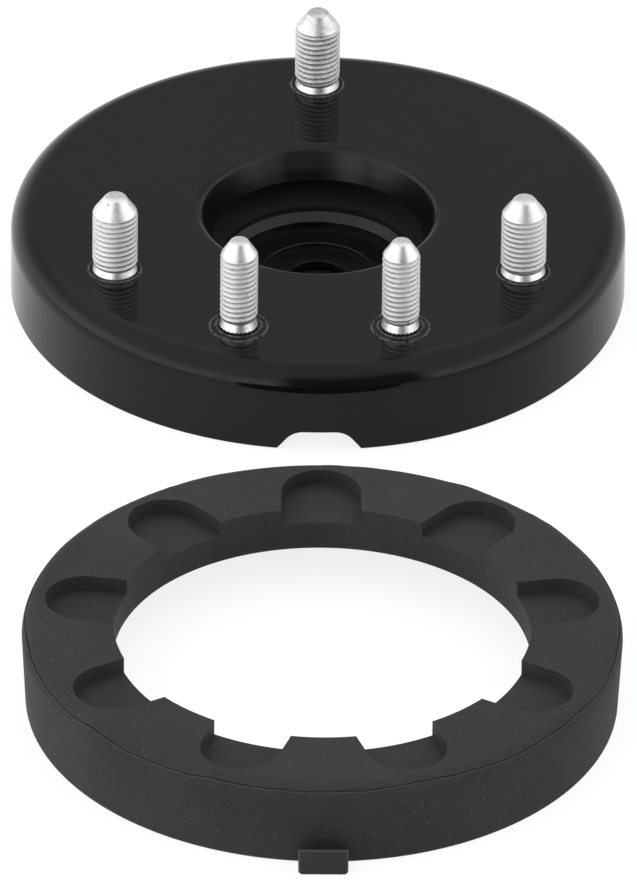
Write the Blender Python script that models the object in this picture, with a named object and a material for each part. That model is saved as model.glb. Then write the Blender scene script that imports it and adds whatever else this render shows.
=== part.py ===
"""Strut mount: a pressed steel pan with five studs and a bonded rubber bush for the
damper rod, and the rubber spring isolator that keys into it. The two lie side by side
on a flat surface, the mount behind and the isolator in front. Metres, +Z up."""

from math import atan2, cos, hypot, pi, radians, sin, tan

import bmesh
import bpy
from mathutils import Matrix

# Mount pan, pressed from one sheet
MOUNT_RADIUS = 0.0815
MOUNT_HEIGHT = 0.024
SHEET = 0.003
FOLD_RADIUS = 0.006
SKIRT_EDGE_ROUND = 0.0006
RIM_RADIUS = 0.0312
RIM_ROUND = 0.0012
COLLAR_DEPTH = 0.0084
COLLAR_TAPER = 0.0034

# Studs, pressed in from below on one circle
STUD_INSET = 0.0193
LARGE_STUD_ANGLES = {"rear": 90, "left": 210, "right": 330}
SMALL_STUD_ANGLES = {"left": 250, "right": 290}
LARGE_RADIUS = 0.006
LARGE_REACH = 0.0231
LARGE_NOSE = 0.0052
LARGE_TIP_RADIUS = 0.0022
LARGE_HEAD_RADIUS = 0.009
SMALL_RADIUS = 0.005
SMALL_REACH = 0.0268
SMALL_NOSE = 0.0047
SMALL_TIP_RADIUS = 0.0019
SMALL_HEAD_RADIUS = 0.0082
HEAD_THICKNESS = 0.003
LIP_WIDTH = 0.0008
LIP_HEIGHT = 0.0005
LIP_GAP = 0.0003

# Bush in the middle of the pan
CUP_SHEET = 0.002
CUP_ROUND = 0.0025
CUP_TO_COLLAR = 0.0008
CUP_LIP = 0.0045
FLANGE_TO_HEADS = 0.006
FLOOR_GAP = 0.0006
RUBBER_WIDTH = 0.0097
SEAT_FLOOR_HEIGHT = 0.004
SEAT_RIM_HEIGHT = 0.0032
SEAT_RIM_WIDTH = 0.0027
SEAT_WALL_TAPER = 0.0014
NUT_RECESS_RADIUS = 0.0146
NUT_RECESS_DEPTH = 0.001
ROD_BORE_RADIUS = 0.00725
RUBBER_STEP = 0.0013

# Spring isolator, one rubber moulding
ISOLATOR_CLEARANCE = 0.001
ISOLATOR_HEIGHT = 0.0235
ISOLATOR_WIDTH = 0.0235
ISOLATOR_FLANGE = 0.0125
ISOLATOR_SKIRT = 0.0078
ISOLATOR_ROUND = 0.0038
ISOLATOR_DRAFT = 0.001
SPRING_SEAT_ROUND = 0.003
POCKET_CLEARANCE = 0.0014
POCKET_PITCH_ANGLE = 40
POCKET_DEPTH = 0.0043
TAB_WIDTH = 0.0128
TAB_REACH = 0.0058
TAB_HEIGHT = 0.0076
TAB_ROUND = 0.0012
TAB_WALL = 0.0014
TAB_SCOOP_DEPTH = 0.0034

# Notch in the pan's skirt, which takes the isolator's tab
NOTCH_SIDE_GAP = 0.0005
NOTCH_DEPTH = 0.0053
NOTCH_FLARE = 0.0042
NOTCH_ROUND = 0.0035

# Layout and fits
LAYOUT_GAP = 0.041
FIT_GAP = 0.0003
BITE = 0.002
LARGE_STEPS = 90
MIDDLE_STEPS = 42
STUD_STEPS = 24
ARC_STEPS = 5
SMOOTH_ANGLE = radians(32)

# Sizes that follow from the ones above
STUD_CIRCLE = MOUNT_RADIUS - STUD_INSET
PAN_UNDERSIDE = MOUNT_HEIGHT - SHEET
COLLAR_END = MOUNT_HEIGHT - COLLAR_DEPTH
COLLAR_SLOPE = COLLAR_TAPER / COLLAR_DEPTH
COLLAR_WALL = SHEET * hypot(1, COLLAR_SLOPE)
COLLAR_TOP_OUTSIDE = RIM_RADIUS + COLLAR_WALL - COLLAR_SLOPE * SHEET
HEAD_TOP = PAN_UNDERSIDE - FIT_GAP
CUP_RADIUS = RIM_RADIUS + COLLAR_WALL + CUP_TO_COLLAR
FLANGE_RADIUS = STUD_CIRCLE - LARGE_HEAD_RADIUS - FLANGE_TO_HEADS
SEAT_RADIUS = CUP_RADIUS - RUBBER_WIDTH
SEAT_RIM = SEAT_FLOOR_HEIGHT + SEAT_RIM_HEIGHT
ISOLATOR_RADIUS = MOUNT_RADIUS - SHEET - ISOLATOR_CLEARANCE
ISOLATOR_BORE_RADIUS = ISOLATOR_RADIUS - ISOLATOR_WIDTH
POCKET_RADIUS = LARGE_HEAD_RADIUS + POCKET_CLEARANCE
POCKET_COUNT = round(360 / POCKET_PITCH_ANGLE)
FOOT_RADIUS = ISOLATOR_RADIUS - ISOLATOR_DRAFT
LENGTH = 2 * MOUNT_RADIUS + LAYOUT_GAP + ISOLATOR_RADIUS + FOOT_RADIUS + TAB_REACH
MOUNT_Y = LENGTH / 2 - MOUNT_RADIUS
ISOLATOR_Y = FOOT_RADIUS + TAB_REACH - LENGTH / 2


def clear_scene():
    for obj in list(bpy.data.objects):
        bpy.data.objects.remove(obj, do_unlink=True)


def finish(name, colour, roughness, metallic):
    material = bpy.data.materials.new(name)
    material.use_nodes = True
    shader = material.node_tree.nodes["Principled BSDF"]
    shader.inputs["Base Color"].default_value = (*colour, 1)
    shader.inputs["Roughness"].default_value = roughness
    shader.inputs["Metallic"].default_value = metallic
    material.diffuse_color = (*colour, 1)
    return material


def place(name, y):
    """An empty that carries one group of pieces."""
    empty = bpy.data.objects.new(name, None)
    empty.location.y = y
    bpy.context.scene.collection.objects.link(empty)
    return empty


def add_object(name, bm, parent, material=None):
    mesh = bpy.data.meshes.new(name)
    bmesh.ops.recalc_face_normals(bm, faces=bm.faces[:])
    bm.to_mesh(mesh)
    bm.free()
    obj = bpy.data.objects.new(name, mesh)
    bpy.context.scene.collection.objects.link(obj)
    obj.parent = parent
    if material:
        mesh.materials.append(material)
        mesh.shade_smooth()
        mesh.set_sharp_from_angle(angle=SMOOTH_ANGLE)
    else:
        obj.hide_render = True
        obj.display_type = "WIRE"
    return obj


def arc(centre_r, centre_z, radius, start, end, steps=ARC_STEPS):
    """Points of a circular arc in the outline's plane, angles in degrees."""
    angles = [radians(start + (end - start) * i / steps) for i in range(steps + 1)]
    return [(centre_r + radius * cos(a), centre_z + radius * sin(a)) for a in angles]


def turned(name, outline, steps, parent, material=None, closed=True):
    """A solid turned about Z from an outline of (radius, height) points. A closed
    outline makes a ring. An open one starts and ends on the axis."""
    bm = bmesh.new()
    verts = [bm.verts.new((r, 0, z)) for r, z in outline]
    pairs = list(zip(verts, verts[1:] + verts[:1]))
    for a, b in pairs if closed else pairs[:-1]:
        bm.edges.new((a, b))
    bmesh.ops.spin(
        bm,
        geom=bm.verts[:] + bm.edges[:],
        cent=(0, 0, 0),
        axis=(0, 0, 1),
        angle=2 * pi,
        steps=steps,
        use_merge=True,
    )
    bmesh.ops.remove_doubles(bm, verts=bm.verts, dist=1e-7)
    return add_object(name, bm, parent, material)


def prism(bm, corners, vector):
    """Adds an outline of 3-D corners, extruded along a vector."""
    face = bm.faces.new([bm.verts.new(corner) for corner in corners])
    made = bmesh.ops.extrude_face_region(bm, geom=[face])["geom"]
    moved = [part for part in made if isinstance(part, bmesh.types.BMVert)]
    bmesh.ops.translate(bm, vec=vector, verts=moved)
    return moved


def boolean(obj, operation, other):
    modifier = obj.modifiers.new(operation.title(), "BOOLEAN")
    modifier.operation = operation
    modifier.object = other


def on_stud_circle(angle):
    return STUD_CIRCLE * cos(radians(angle)), STUD_CIRCLE * sin(radians(angle))


def stud_sizes():
    large = [(angle, LARGE_RADIUS) for angle in LARGE_STUD_ANGLES.values()]
    small = [(angle, SMALL_RADIUS) for angle in SMALL_STUD_ANGLES.values()]
    return large + small


def pan_outline():
    """Section of the pan: skirt, fold, flat top and the collar drawn down round the
    recess, one sheet thick all the way. The underside is divided where the isolator's
    seat begins, just outside the cup's flange."""
    inner_fold = max(FOLD_RADIUS - SHEET, SHEET * 0.2)
    skirt_inside = MOUNT_RADIUS - SHEET
    edge = SKIRT_EDGE_ROUND
    lean = atan2(COLLAR_TAPER, COLLAR_DEPTH)
    rim_tangent = RIM_ROUND * tan((pi / 2 - lean) / 2)
    rim_centre = RIM_RADIUS + rim_tangent
    collar_outside = RIM_RADIUS - COLLAR_TAPER + COLLAR_WALL
    outline = [(skirt_inside + edge, 0), (MOUNT_RADIUS - edge, 0), (MOUNT_RADIUS, edge)]
    outline += arc(
        MOUNT_RADIUS - FOLD_RADIUS, MOUNT_HEIGHT - FOLD_RADIUS, FOLD_RADIUS, 0, 90, 6
    )
    outline += arc(
        rim_centre, MOUNT_HEIGHT - RIM_ROUND, RIM_ROUND, 90, 180 - lean * 180 / pi, 3
    )
    outline.append((RIM_RADIUS - COLLAR_TAPER, COLLAR_END))
    outline.append((collar_outside, COLLAR_END))
    outline.append((COLLAR_TOP_OUTSIDE, PAN_UNDERSIDE))
    outline.append((FLANGE_RADIUS + FIT_GAP, PAN_UNDERSIDE))
    outline += arc(
        skirt_inside - inner_fold, PAN_UNDERSIDE - inner_fold, inner_fold, 90, 0, 3
    )
    outline.append((skirt_inside, edge))
    return outline


def stud_lips(parent):
    """Discs that become the lips pushed up round the studs once the holes are cut."""
    bm = bmesh.new()
    for angle, radius in stud_sizes():
        x, y = on_stud_circle(angle)
        outside = radius + LIP_GAP + LIP_WIDTH
        bmesh.ops.create_cone(
            bm,
            cap_ends=True,
            segments=STUD_STEPS,
            radius1=outside + LIP_HEIGHT / 2,
            radius2=outside - LIP_HEIGHT / 4,
            depth=LIP_HEIGHT + SHEET / 2,
            matrix=Matrix.Translation(
                (x, y, MOUNT_HEIGHT + LIP_HEIGHT / 2 - SHEET / 4)
            ),
        )
    return add_object("lip_discs", bm, parent)


def stud_holes(parent):
    bm = bmesh.new()
    for angle, radius in stud_sizes():
        x, y = on_stud_circle(angle)
        bmesh.ops.create_cone(
            bm,
            cap_ends=True,
            segments=STUD_STEPS,
            radius1=radius + LIP_GAP,
            radius2=radius + LIP_GAP,
            depth=3 * SHEET,
            matrix=Matrix.Translation((x, y, MOUNT_HEIGHT - SHEET / 2)),
        )
    return add_object("stud_holes", bm, parent)


def skirt_notch(parent):
    """Flared notch, round in its upper corners, cut through the front of the skirt."""
    top = TAB_WIDTH / 2 + NOTCH_SIDE_GAP
    foot = top + NOTCH_FLARE
    corners = [(-foot, -BITE), (foot, -BITE), (foot, 0), (top, NOTCH_DEPTH)]
    corners += [(-top, NOTCH_DEPTH), (-foot, 0)]
    bm = bmesh.new()
    start = -MOUNT_RADIUS - BITE
    prism(bm, [(x, start, z) for x, z in corners], (0, SHEET + 3 * BITE, 0))
    upper = [
        edge
        for edge in bm.edges
        if all(vert.co.z > NOTCH_DEPTH - FIT_GAP for vert in edge.verts)
        and abs(edge.verts[0].co.x - edge.verts[1].co.x) < FIT_GAP
    ]
    bmesh.ops.bevel(
        bm, geom=upper, offset=NOTCH_ROUND, segments=4, profile=0.5, affect="EDGES"
    )
    return add_object("notch", bm, parent)


def mount_pan(parent, material):
    pan = turned("mount_plate", pan_outline(), LARGE_STEPS, parent, material)
    boolean(pan, "UNION", stud_lips(parent))
    boolean(pan, "DIFFERENCE", stud_holes(parent))
    boolean(pan, "DIFFERENCE", skirt_notch(parent))


def stud(name, angle, sizes, parent, material):
    """Press-in stud: flat head below the pan, shank, and a nose that leads the nut."""
    radius, reach, nose, tip_radius, head_radius = sizes
    tip = MOUNT_HEIGHT + reach
    shoulder = tip - nose
    head_bottom = HEAD_TOP - HEAD_THICKNESS
    chamfer = HEAD_THICKNESS / 6
    soft = tip_radius / 5
    outline = [(0, head_bottom), (head_radius - chamfer, head_bottom)]
    outline += [(head_radius, head_bottom + chamfer), (head_radius, HEAD_TOP)]
    outline += [(radius, HEAD_TOP), (radius, shoulder)]
    outline.append((radius * 0.97, shoulder + nose * 0.13))
    outline.append((radius * 0.88, shoulder + nose * 0.27))
    outline += [(tip_radius, tip - soft), (tip_radius - soft, tip), (0, tip)]
    piece = turned(name, outline, STUD_STEPS, parent, material, closed=False)
    piece.location.x, piece.location.y = on_stud_circle(angle)


def bush_shell(parent, material):
    """Pressed cup welded under the pan: flange, wall and an inturned lip."""
    top = PAN_UNDERSIDE - FIT_GAP
    outside = CUP_RADIUS + CUP_SHEET
    flange = top - CUP_SHEET
    lip = CUP_RADIUS - CUP_LIP
    base = FLOOR_GAP
    outline = [(lip, base)]
    outline += arc(outside - CUP_ROUND, base + CUP_ROUND, CUP_ROUND, -90, 0, 3)
    outline += [(outside, flange), (FLANGE_RADIUS, flange), (FLANGE_RADIUS, top)]
    outline += [(CUP_RADIUS, top), (CUP_RADIUS, base + CUP_SHEET)]
    outline.append((lip, base + CUP_SHEET))
    turned("bush_shell", outline, MIDDLE_STEPS, parent, material)


def rubber_bush(parent, material):
    """Rubber between the cup and the rod seat, hollowed on both faces."""
    inside = SEAT_RADIUS + FIT_GAP
    outside = CUP_RADIUS - FIT_GAP
    lip = CUP_RADIUS - CUP_LIP - FIT_GAP
    base = FLOOR_GAP + CUP_SHEET + FIT_GAP
    low = SEAT_RIM + RUBBER_STEP
    high = max(COLLAR_END - RUBBER_STEP, low)
    outline = [(inside, FLOOR_GAP + RUBBER_STEP), (lip, FLOOR_GAP + RUBBER_STEP)]
    outline += [(lip, base), (outside, base), (outside, high)]
    for i in range(1, ARC_STEPS):
        turn = pi / 2 * i / ARC_STEPS
        drop = sin(turn)
        run = 1 - cos(turn)
        outline.append((outside + (inside - outside) * run, high + (low - high) * drop))
    outline.append((inside, low))
    turned("rubber_bush", outline, MIDDLE_STEPS, parent, material)


def rod_seat(parent, material):
    """Inner cup that the damper rod's nut clamps: rim, floor, nut recess and bore."""
    floor = SEAT_FLOOR_HEIGHT
    edge = NUT_RECESS_DEPTH / 3
    rim_inside = SEAT_RADIUS - SEAT_RIM_WIDTH
    outline = [(ROD_BORE_RADIUS, FLOOR_GAP), (SEAT_RADIUS - edge, FLOOR_GAP)]
    outline += [(SEAT_RADIUS, FLOOR_GAP + edge), (SEAT_RADIUS, SEAT_RIM - edge)]
    outline += [(SEAT_RADIUS - edge, SEAT_RIM), (rim_inside + edge, SEAT_RIM)]
    outline.append((rim_inside, SEAT_RIM - edge))
    outline.append((rim_inside - SEAT_WALL_TAPER, floor))
    outline.append((NUT_RECESS_RADIUS + edge, floor))
    outline.append((NUT_RECESS_RADIUS, floor - edge))
    outline.append((NUT_RECESS_RADIUS, floor - NUT_RECESS_DEPTH))
    outline.append((ROD_BORE_RADIUS, floor - NUT_RECESS_DEPTH))
    turned("rod_seat", outline, MIDDLE_STEPS, parent, material)


def isolator_outline():
    """Section of the isolator: a thick flange with an outer skirt below it, which
    together make the seat for the spring's top coil."""
    seat = ISOLATOR_HEIGHT - ISOLATOR_FLANGE
    skirt_inside = ISOLATOR_RADIUS - ISOLATOR_SKIRT
    soft = ISOLATOR_DRAFT / 2
    outline = [(skirt_inside + soft, 0), (FOOT_RADIUS - soft, 0), (FOOT_RADIUS, soft)]
    outline += arc(
        ISOLATOR_RADIUS - ISOLATOR_ROUND,
        ISOLATOR_HEIGHT - ISOLATOR_ROUND,
        ISOLATOR_ROUND,
        0,
        90,
        4,
    )
    outline.append((ISOLATOR_BORE_RADIUS, ISOLATOR_HEIGHT))
    outline.append((ISOLATOR_BORE_RADIUS, seat + soft))
    outline.append((ISOLATOR_BORE_RADIUS + soft, seat))
    outline += arc(
        skirt_inside - SPRING_SEAT_ROUND,
        seat - SPRING_SEAT_ROUND,
        SPRING_SEAT_ROUND,
        90,
        0,
        3,
    )
    return outline


def pocket_cutters(parent):
    """Pockets with a round end, open to the bore. They share the studs' circle, so that
    the heads drop into them."""
    floor = ISOLATOR_HEIGHT - POCKET_DEPTH
    lift = POCKET_DEPTH + BITE
    inner = ISOLATOR_BORE_RADIUS - 2 * BITE
    end = [
        (STUD_CIRCLE + r, side) for r, side in arc(0, 0, POCKET_RADIUS, -90, 90, 12)
    ]
    plan = [(inner, -POCKET_RADIUS), *end, (inner, POCKET_RADIUS)]
    bm = bmesh.new()
    for number in range(POCKET_COUNT):
        angle = radians(90 + number * POCKET_PITCH_ANGLE)
        turn = Matrix.Rotation(angle, 4, "Z")
        corners = [turn @ Matrix.Translation((r, s, floor)) for r, s in plan]
        prism(bm, [corner.to_translation() for corner in corners], (0, 0, lift))
    return add_object("pocket_blocks", bm, parent)


def tab_block(parent):
    """Key that stands out of the front of the isolator, round at its corners."""
    half = TAB_WIDTH / 2
    face = -FOOT_RADIUS - TAB_REACH
    root = -ISOLATOR_RADIUS + ISOLATOR_SKIRT / 2
    bm = bmesh.new()
    corners = [(-half, face, 0), (half, face, 0)]
    corners += [(half, face, TAB_HEIGHT), (-half, face, TAB_HEIGHT)]
    prism(bm, corners, (0, root - face, 0))
    long_edges = [
        edge
        for edge in bm.edges
        if abs(edge.verts[0].co.y - edge.verts[1].co.y) > TAB_REACH
    ]
    bmesh.ops.bevel(
        bm, geom=long_edges, offset=TAB_ROUND, segments=3, profile=0.5, affect="EDGES"
    )
    return add_object("tab_block", bm, parent)


def tab_scoop(parent):
    """Hollow behind the tab's front wall, open at the top."""
    half = TAB_WIDTH / 2 - TAB_WALL
    front = -FOOT_RADIUS - TAB_REACH + TAB_WALL
    back = -ISOLATOR_RADIUS
    floor = TAB_HEIGHT - TAB_SCOOP_DEPTH
    corners = [(-half, front, floor), (half, front, floor)]
    corners += [(half, back, floor), (-half, back, floor)]
    bm = bmesh.new()
    prism(bm, corners, (0, 0, TAB_SCOOP_DEPTH + BITE))
    return add_object("tab_scoop", bm, parent)


def spring_isolator(parent, material):
    ring = turned("spring_isolator", isolator_outline(), LARGE_STEPS, parent, material)
    boolean(ring, "DIFFERENCE", pocket_cutters(parent))
    boolean(ring, "UNION", tab_block(parent))
    boolean(ring, "DIFFERENCE", tab_scoop(parent))


def build():
    clear_scene()
    paint = finish("black_paint", (0.012, 0.012, 0.013), 0.22, 0.0)
    zinc = finish("zinc_plated_steel", (0.66, 0.66, 0.65), 0.32, 1.0)
    bush = finish("bush_rubber", (0.01, 0.01, 0.01), 0.7, 0.0)
    moulded = finish("isolator_rubber", (0.045, 0.045, 0.045), 0.75, 0.0)
    mount = place("mount", MOUNT_Y)
    isolator = place("isolator", ISOLATOR_Y)
    mount_pan(mount, paint)
    large = (LARGE_RADIUS, LARGE_REACH, LARGE_NOSE, LARGE_TIP_RADIUS, LARGE_HEAD_RADIUS)
    small = (SMALL_RADIUS, SMALL_REACH, SMALL_NOSE, SMALL_TIP_RADIUS, SMALL_HEAD_RADIUS)
    for side, angle in LARGE_STUD_ANGLES.items():
        stud(f"large_stud_{side}", angle, large, mount, zinc)
    for side, angle in SMALL_STUD_ANGLES.items():
        stud(f"small_stud_{side}", angle, small, mount, zinc)
    bush_shell(mount, paint)
    rubber_bush(mount, bush)
    rod_seat(mount, paint)
    spring_isolator(isolator, moulded)


build()
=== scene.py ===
# %% [markdown]
# # A strut mount with its spring isolator
# The mount is a round pan pressed from one steel sheet and painted gloss black. Five plated
# studs are pressed up through it, and a bonded rubber bush sits in the recess in its middle.
# The isolator is a thick rubber ring with nine pockets that the stud heads drop into, and a
# tab that keys into the notch in the pan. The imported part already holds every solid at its
# real size, so it is loaded first and everything below is built round it.

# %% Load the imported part
from math import atan2, cos, hypot, pi, radians, sin, tan

import bmesh
import bpy
from mathutils import Matrix, Vector


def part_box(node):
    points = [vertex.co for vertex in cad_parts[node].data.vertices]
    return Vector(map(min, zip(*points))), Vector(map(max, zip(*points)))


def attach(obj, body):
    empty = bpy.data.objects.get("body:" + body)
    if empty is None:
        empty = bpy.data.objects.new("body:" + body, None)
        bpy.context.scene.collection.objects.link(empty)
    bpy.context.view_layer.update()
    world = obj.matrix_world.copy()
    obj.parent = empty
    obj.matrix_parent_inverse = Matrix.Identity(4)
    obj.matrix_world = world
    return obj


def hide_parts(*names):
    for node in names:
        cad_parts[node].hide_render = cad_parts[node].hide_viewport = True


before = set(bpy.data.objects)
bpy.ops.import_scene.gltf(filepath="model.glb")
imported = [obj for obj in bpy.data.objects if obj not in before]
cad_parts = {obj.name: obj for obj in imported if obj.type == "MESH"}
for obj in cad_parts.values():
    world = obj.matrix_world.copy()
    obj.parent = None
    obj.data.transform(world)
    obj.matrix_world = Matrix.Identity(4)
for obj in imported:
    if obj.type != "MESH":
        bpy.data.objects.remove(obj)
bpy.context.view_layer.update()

# %% [markdown]
# ## Sizes
# A finer piece may only take the place of a packed one if it has the same size and stands in
# the same place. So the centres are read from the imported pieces, and the few section sizes
# below repeat those of the solids. All of them are metres.

# %% Centres and section sizes
pan_low, pan_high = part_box("mount_plate")
isolator_low, isolator_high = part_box("spring_isolator")
MOUNT_RADIUS = (pan_high.x - pan_low.x) / 2
MOUNT_Y = pan_high.y - MOUNT_RADIUS
PLATE_TOP = 0.024
SHEET = 0.003
PLATE_UNDERSIDE = PLATE_TOP - SHEET
FOLD_RADIUS = 0.007
RIM_RADIUS = 0.0312
RIM_ROUND = 0.003
COLLAR_DEPTH = 0.0084
COLLAR_TAPER = 0.0034
STUD_INSET = 0.0193
STUD_CIRCLE = MOUNT_RADIUS - STUD_INSET

ISOLATOR_RADIUS = (isolator_high.x - isolator_low.x) / 2
ISOLATOR_Y = isolator_high.y - ISOLATOR_RADIUS
ISOLATOR_TOP = isolator_high.z
RING_WIDTH = 0.0235
RING_DRAFT = 0.001
SHOULDER = 0.0038
POCKET_DEPTH = 0.0043
BORE_RADIUS = ISOLATOR_RADIUS - RING_WIDTH
FOOT_RADIUS = ISOLATOR_RADIUS - RING_DRAFT

FIT_GAP = 0.0003
WELD = 1e-7
print("mount radius", round(MOUNT_RADIUS, 5), "isolator radius", round(ISOLATOR_RADIUS, 5))

# %% [markdown]
# ## Small tools for node trees
# Both kinds of tree, for shapes and for finishes, are built from the script. One helper adds a
# node and wires or sets its inputs in the same call. The others stand on it, one for each kind
# of step that comes back often, which keeps the trees short enough to read.


# %% Node helpers
def add(tree, kind, inputs=None, **settings):
    """Adds a node, sets its options, and wires or sets its inputs."""
    made = tree.nodes.new(kind)
    for name, value in settings.items():
        setattr(made, name, value)
    for socket, value in (inputs or {}).items():
        if isinstance(value, bpy.types.NodeSocket):
            tree.links.new(value, made.inputs[socket])
        else:
            made.inputs[socket].default_value = value
    return made


def first(tree, kind, inputs=None, **settings):
    """The same, where only the node's first output is wanted."""
    return add(tree, kind, inputs, **settings).outputs[0]


def calc(tree, operation, a, b=0.0, c=0.0, clamp=False):
    """Arithmetic on numbers or sockets. The result is a socket."""
    inputs = {0: a, 1: b, 2: c}
    return first(tree, "ShaderNodeMath", inputs, operation=operation, use_clamp=clamp)


def plus(tree, a, b):
    return calc(tree, "ADD", a, b)


def minus(tree, a, b):
    return calc(tree, "SUBTRACT", a, b)


def times(tree, a, b):
    return calc(tree, "MULTIPLY", a, b)


def times_plus(tree, a, b, c):
    return calc(tree, "MULTIPLY_ADD", a, b, c)


def vector(tree, operation, a, b=None, scale=None):
    """Arithmetic on vectors. Some operations give a number, the others a vector."""
    inputs = {0: a, 1: b, "Scale": scale}
    inputs = {socket: value for socket, value in inputs.items() if value is not None}
    made = add(tree, "ShaderNodeVectorMath", inputs, operation=operation)
    number = operation in ("LENGTH", "DISTANCE", "DOT_PRODUCT")
    return made.outputs["Value" if number else "Vector"]


def parts(tree, place):
    return add(tree, "ShaderNodeSeparateXYZ", {0: place}).outputs


def combine(tree, **values):
    return first(tree, "ShaderNodeCombineXYZ", values)


def remap(tree, value, low, high, to_low=0.0, to_high=1.0, soft=False):
    kind = "SMOOTHSTEP" if soft else "LINEAR"
    inputs = {"Value": value, "From Min": low, "From Max": high}
    inputs.update({"To Min": to_low, "To Max": to_high})
    return first(tree, "ShaderNodeMapRange", inputs, interpolation_type=kind, clamp=True)


def noise(tree, place, scale, detail=2.0, seed=None):
    """Soft noise round a half. A seed picks another pattern of the same kind."""
    inputs = {"Vector": place, "Scale": scale, "Detail": detail}
    if seed is None:
        return add(tree, "ShaderNodeTexNoise", inputs).outputs
    inputs["W"] = seed
    return add(tree, "ShaderNodeTexNoise", inputs, noise_dimensions="4D").outputs


def new_tree(name, kind, inputs, outputs):
    """An empty tree. A socket is its name and its default number, or its type's name."""
    tree = bpy.data.node_groups.new(name, kind)
    for way, sockets in (("INPUT", inputs), ("OUTPUT", outputs)):
        for label, value in sockets.items():
            named = isinstance(value, str)
            sort = value if named else type(value).__name__.title()
            made = tree.interface.new_socket(label, in_out=way, socket_type=f"NodeSocket{sort}")
            if not named:
                made.default_value = value
    source, result = tree.nodes.new("NodeGroupInput"), tree.nodes.new("NodeGroupOutput")
    return tree, source.outputs, result.inputs


print("node helpers ready")

# %% [markdown]
# ## Small tools for meshes
# A turned piece is drawn as half a section and spun about the upright axis. One function turns
# live modifiers into a plain mesh with its place in its points. Every finished piece then goes
# through another, which gives it its finish, ties it to the body and hides the imported node it
# stands for.


# %% Mesh helpers
def link(name, data):
    obj = bpy.data.objects.new(name, data)
    bpy.context.scene.collection.objects.link(obj)
    return obj


def mesh_of(name, bm):
    mesh = bpy.data.meshes.new(name)
    bm.to_mesh(mesh)
    bm.free()
    return mesh


def close_up(bm):
    """Merges the seam, then turns the faces outwards."""
    bmesh.ops.remove_doubles(bm, verts=bm.verts, dist=WELD)
    bmesh.ops.recalc_face_normals(bm, faces=bm.faces[:])


def arc(centre_r, centre_z, radius, start, end, steps):
    """Points of an arc in the section's plane, angles in degrees."""
    turns = [radians(start + (end - start) * i / steps) for i in range(steps + 1)]
    return [(centre_r + radius * cos(t), centre_z + radius * sin(t)) for t in turns]


def spin(bm, outline, steps, closed):
    """Spins points of (radius, height) once round the upright axis."""
    points = [bm.verts.new((r, 0, z)) for r, z in outline]
    pairs = zip(points, points[1:] + points[:1] if closed else points[1:])
    edges = [bm.edges.new(pair) for pair in pairs]
    once = {"cent": (0, 0, 0), "axis": (0, 0, 1), "angle": 2 * pi, "use_merge": True}
    bmesh.ops.spin(bm, geom=points + edges, steps=steps, **once)


def turned(name, outline, steps, centre_y):
    """A turned piece from its closed section."""
    bm = bmesh.new()
    spin(bm, outline, steps, closed=True)
    close_up(bm)
    bmesh.ops.translate(bm, vec=(0, centre_y, 0), verts=bm.verts)
    return link(name, mesh_of(name, bm))


def stretched(outline, by):
    """A flat outline stretched into a solid."""
    bm = bmesh.new()
    face = bm.faces.new([bm.verts.new(point) for point in outline])
    grown = bmesh.ops.extrude_face_region(bm, geom=[face])["geom"]
    moved = [v for v in grown if isinstance(v, bmesh.types.BMVert)]
    bmesh.ops.translate(bm, vec=by, verts=moved)
    bmesh.ops.recalc_face_normals(bm, faces=bm.faces[:])
    return bm


def baked(obj):
    """The object's evaluated shape as a plain mesh in world place. The object goes."""
    bpy.context.view_layer.update()
    depsgraph = bpy.context.evaluated_depsgraph_get()
    mesh = bpy.data.meshes.new_from_object(
        obj.evaluated_get(depsgraph), preserve_all_data_layers=True, depsgraph=depsgraph
    )
    mesh.transform(obj.matrix_world)
    bpy.data.objects.remove(obj, do_unlink=True)
    return mesh


def make_piece(name, mesh, material, slot, *nodes):
    mesh.name = name
    mesh.materials.clear()
    mesh.materials.append(material)
    obj = link(name, mesh)
    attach(obj, "root")
    if nodes:
        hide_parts(*nodes)
    faces = sum(len(p.vertices) - 2 for p in mesh.polygons)
    print(name, "made with", faces, "triangles for", list(nodes))
    return obj


def boolean(obj, operation, other):
    modifier = obj.modifiers.new(operation.title(), "BOOLEAN")
    modifier.operation = operation
    modifier.object = other
    modifier.solver = "EXACT"


print("mesh helpers ready")

# %% [markdown]
# ## Effects that more than one finish uses
# Paint, plating and rubber all have cloudy changes of tone, fine specks and lighter edges,
# only at other scales and strengths. The lighter edges are partly worn and partly a painted
# highlight. Each effect is a node group that reads the point's own place on the object and puts
# out masks. The materials then decide what a mask does.


# %% Node group: cloudy tone
def cloud_group():
    """Two sizes of soft noise mixed to one value around a half."""
    inputs = {"Vector": "Vector", "Coarse": 40.0, "Fine": 400.0, "Fine Share": 0.4, "Contrast": 1.0}
    tree, value, result = new_tree("cloudy tone", "ShaderNodeTree", inputs, {"Value": "Float"})
    coarse = noise(tree, value["Vector"], value["Coarse"], 5.0)["Fac"]
    fine = noise(tree, value["Vector"], value["Fine"], 3.0)["Fac"]
    kept = minus(tree, 1.0, value["Fine Share"])
    coarse = times(tree, coarse, kept)
    fine = times(tree, fine, value["Fine Share"])
    centred = minus(tree, plus(tree, coarse, fine), 0.5)
    spread = calc(tree, "MULTIPLY_ADD", centred, value["Contrast"], 0.5, clamp=True)
    tree.links.new(spread, result["Value"])
    return tree


CLOUDS = cloud_group()
print("node group", CLOUDS.name)


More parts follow.
